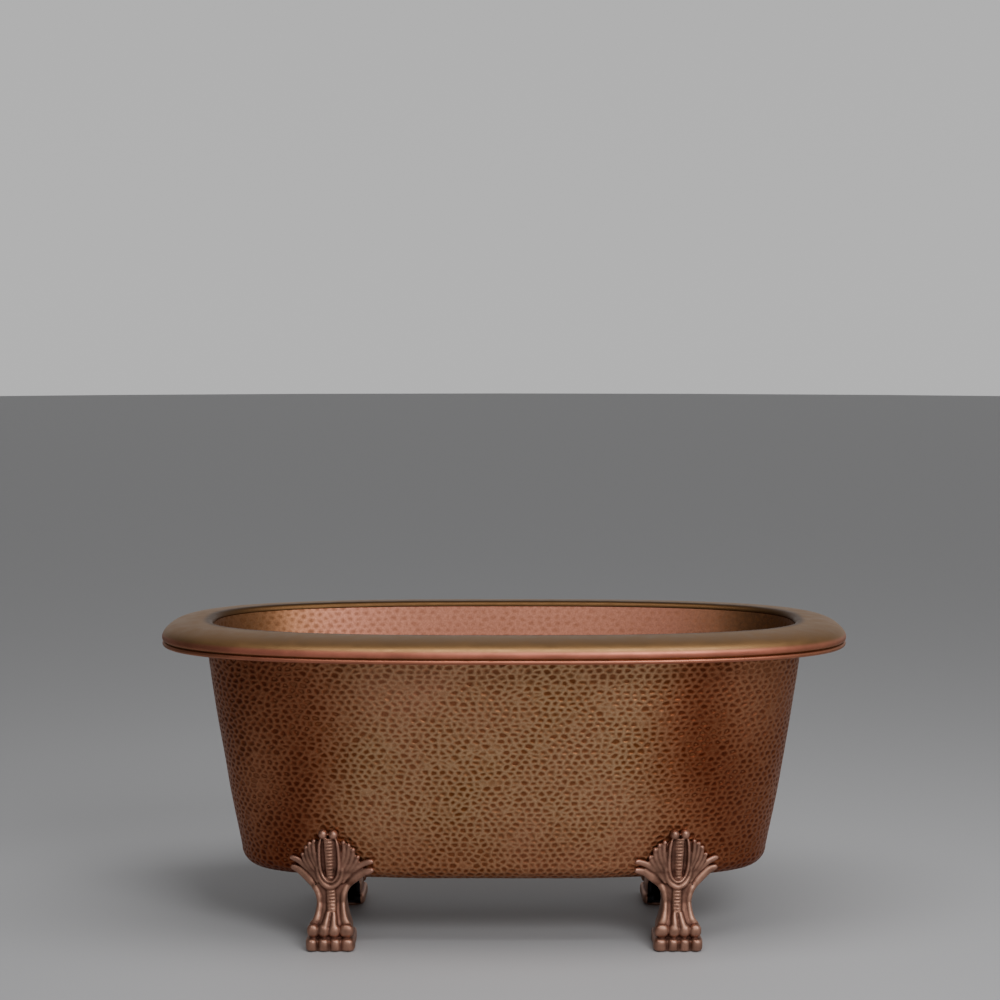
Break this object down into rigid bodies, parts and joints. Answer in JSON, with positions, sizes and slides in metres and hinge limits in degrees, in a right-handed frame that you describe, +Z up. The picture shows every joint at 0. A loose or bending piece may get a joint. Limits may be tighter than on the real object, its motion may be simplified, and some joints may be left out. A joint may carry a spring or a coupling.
{
  "type": "freestanding bathtub",
  "caption": "Oval double-walled hammered-copper bathtub with a wide rolled rim on cast claw feet, with a hidden cable-operated centre waste and overflow.",
  "frame": {"origin": "on the floor, under the centre of the tub's overall box", "axes": "+X along the tub's length, +Y towards the rear long wall, which holds the overflow, +Z up"},
  "size_m": [1.524, 0.76, 0.698],
  "materials": {
    "hammered_copper": "hammered, antique brown patina, satin",
    "smooth_copper": "smooth, brushed antique patina",
    "foot_casting": "cast, copper-bronze plated and rubbed on the show faces",
    "blackened_iron": "black paint",
    "bolt_steel": "zinc plated",
    "fitting_copper": "antique copper plated brass",
    "fitting_brass": "plain brass, unpolished",
    "seal_rubber": "matt",
    "cable_jacket": "matt extruded jacket"
  },
  "bodies": {
    "tub": {"basin": "hammered_copper", "rim_roll": "smooth_copper", "rim_bead": "smooth_copper", "outer_wall_front": "hammered_copper", "outer_wall_rear": "hammered_copper", "base_pan": "hammered_copper", "claw_foot_front_left": "foot_casting", "claw_foot_front_right": "foot_casting", "claw_foot_rear_left": "foot_casting", "claw_foot_rear_right": "foot_casting", "foot_plate_front_left": "blackened_iron", "foot_plate_front_right": "blackened_iron", "foot_plate_rear_left": "blackened_iron", "foot_plate_rear_right": "blackened_iron", "foot_bolt_inner_front_left": "bolt_steel", "foot_bolt_outer_front_left": "bolt_steel", "foot_bolt_inner_front_right": "bolt_steel", "foot_bolt_outer_front_right": "bolt_steel", "foot_bolt_inner_rear_left": "bolt_steel", "foot_bolt_outer_rear_left": "bolt_steel", "foot_bolt_inner_rear_right": "bolt_steel", "foot_bolt_outer_rear_right": "bolt_steel", "drain_flange": "fitting_copper", "drain_gasket": "seal_rubber", "waste_body": "fitting_brass", "waste_locknut": "fitting_brass", "tailpiece": "fitting_brass", "tailpiece_nut": "fitting_brass", "cable_bracket": "fitting_brass", "overflow_faceplate": "fitting_copper", "overflow_gasket": "seal_rubber", "overflow_head": "fitting_brass", "upper_slip_nut": "fitting_brass", "lower_slip_nut": "fitting_brass", "overflow_pipe": "fitting_brass", "plug_cable": "cable_jacket"},
    "plug": {"plug_cap": "fitting_copper", "plug_seal": "seal_rubber", "plug_stem": "fitting_brass"},
    "knob": {"overflow_knob": "fitting_copper", "knob_spindle": "fitting_brass"}
  },
  "joints": [
    {"name": "overflow_knob_turn", "type": "hinge", "parent": "tub", "child": "knob", "pos_m": [0, 0.23302, 0.52], "axis": [0, -0.976, 0.2178], "range_deg": [0, 90]},
    {"name": "plug_lift", "type": "slide", "parent": "tub", "child": "plug", "axis": [0, 0, 1], "range_m": [0, 0.012]}
  ],
  "couplings": [
    {"joint": "plug_lift", "follows": "overflow_knob_turn", "m_per_rad": 0.007576}
  ]
}
